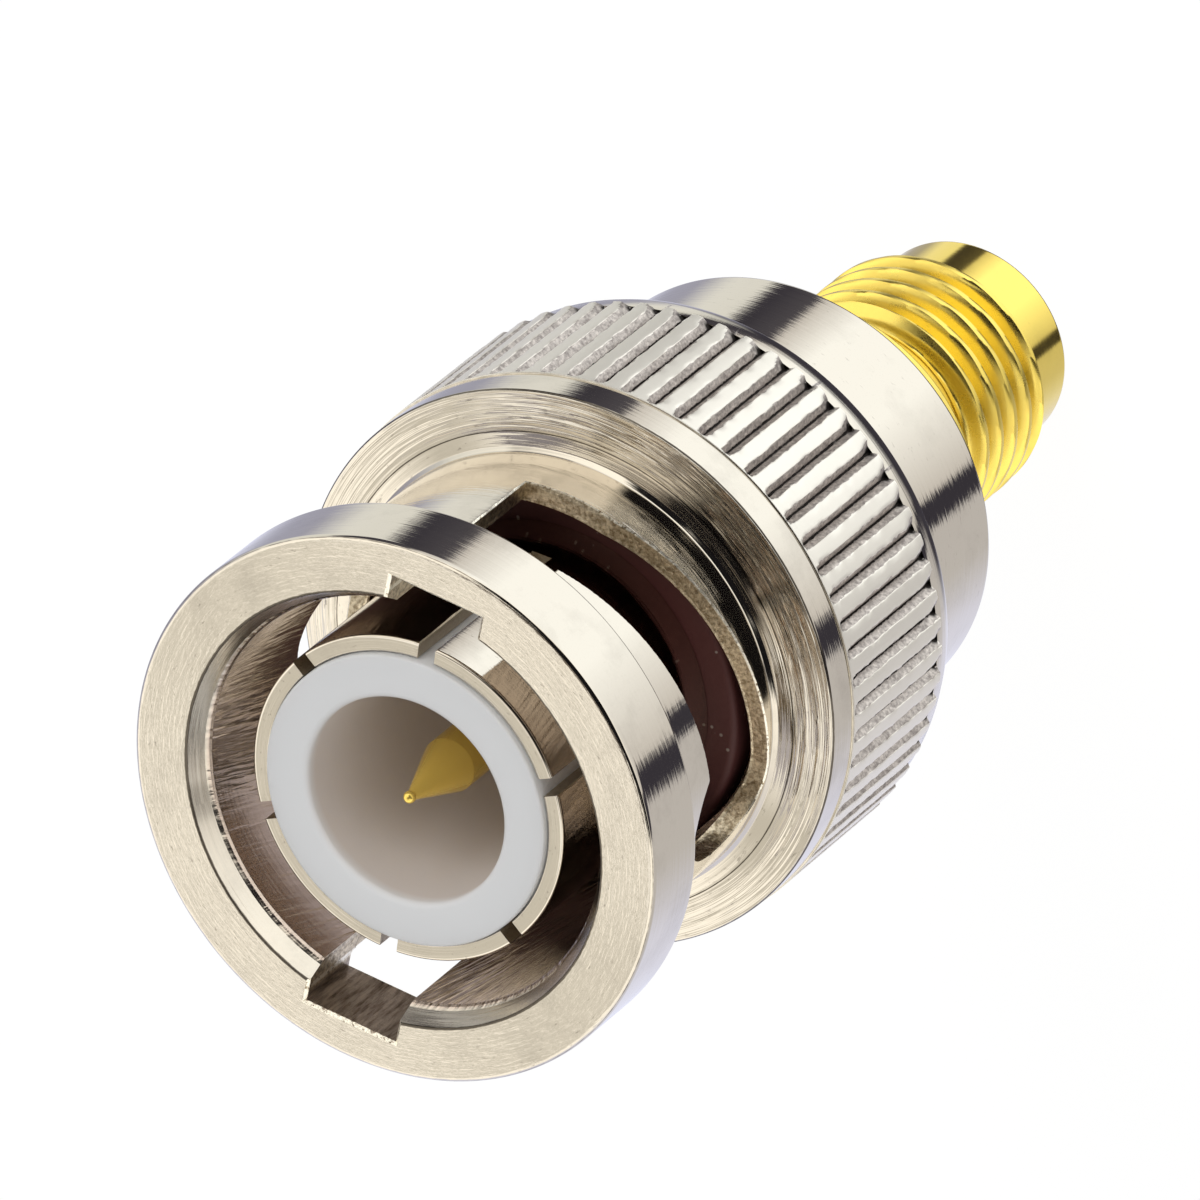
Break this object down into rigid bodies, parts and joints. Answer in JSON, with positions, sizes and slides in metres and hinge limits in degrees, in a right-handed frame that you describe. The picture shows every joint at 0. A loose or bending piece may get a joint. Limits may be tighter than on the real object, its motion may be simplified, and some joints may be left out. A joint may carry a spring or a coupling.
{
  "type": "coax adapter",
  "caption": "Coaxial adapter: bayonet plug with a sprung, knurled coupling nut at one end, threaded jack with a socket contact at the other.",
  "frame": {"origin": "centre of the threaded jack's end face, where the adapter stands", "axes": "+Z along the common axis, from the jack towards the plug face; the first entry notch of the nut is at 65.2 degrees from +X"},
  "size_m": [0.0142, 0.0142, 0.0277],
  "materials": {
    "nickel_nut": "bright nickel plate on turned brass",
    "nickel_body": "bright nickel plate on turned brass",
    "nickel_collar": "bright nickel plate on turned brass",
    "gold_jack": "gold plate on turned brass",
    "gold_pin": "gold plate",
    "dielectric": "turned white fluoropolymer",
    "gasket": "soft matt",
    "spring_metal": "rolled sheet"
  },
  "bodies": {
    "adapter": {"plug_body": "nickel_body", "rear_shell": "nickel_collar", "jack_body": "gold_jack", "centre_pin": "gold_pin", "socket_contact": "gold_pin", "plug_insulator": "dielectric", "jack_insulator": "dielectric", "gasket": "gasket", "front_washer": "spring_metal", "spring_washer": "spring_metal", "snap_ring": "spring_metal"},
    "thrust_ring": {"rear_washer": "spring_metal"},
    "nut": {"coupling_nut": "nickel_nut"}
  },
  "joints": [
    {"name": "nut_travel", "type": "slide", "parent": "adapter", "child": "thrust_ring", "axis": [0, 0, 1], "range_m": [0, 0.0005], "stiffness_N_per_m": 8000, "springref_m": -0.0003, "deforming": ["spring_washer"]},
    {"name": "nut_spin", "type": "hinge", "parent": "thrust_ring", "child": "nut", "pos_m": [0, 0, 0.01655], "axis": [0, 0, 1], "continuous": true}
  ]
}
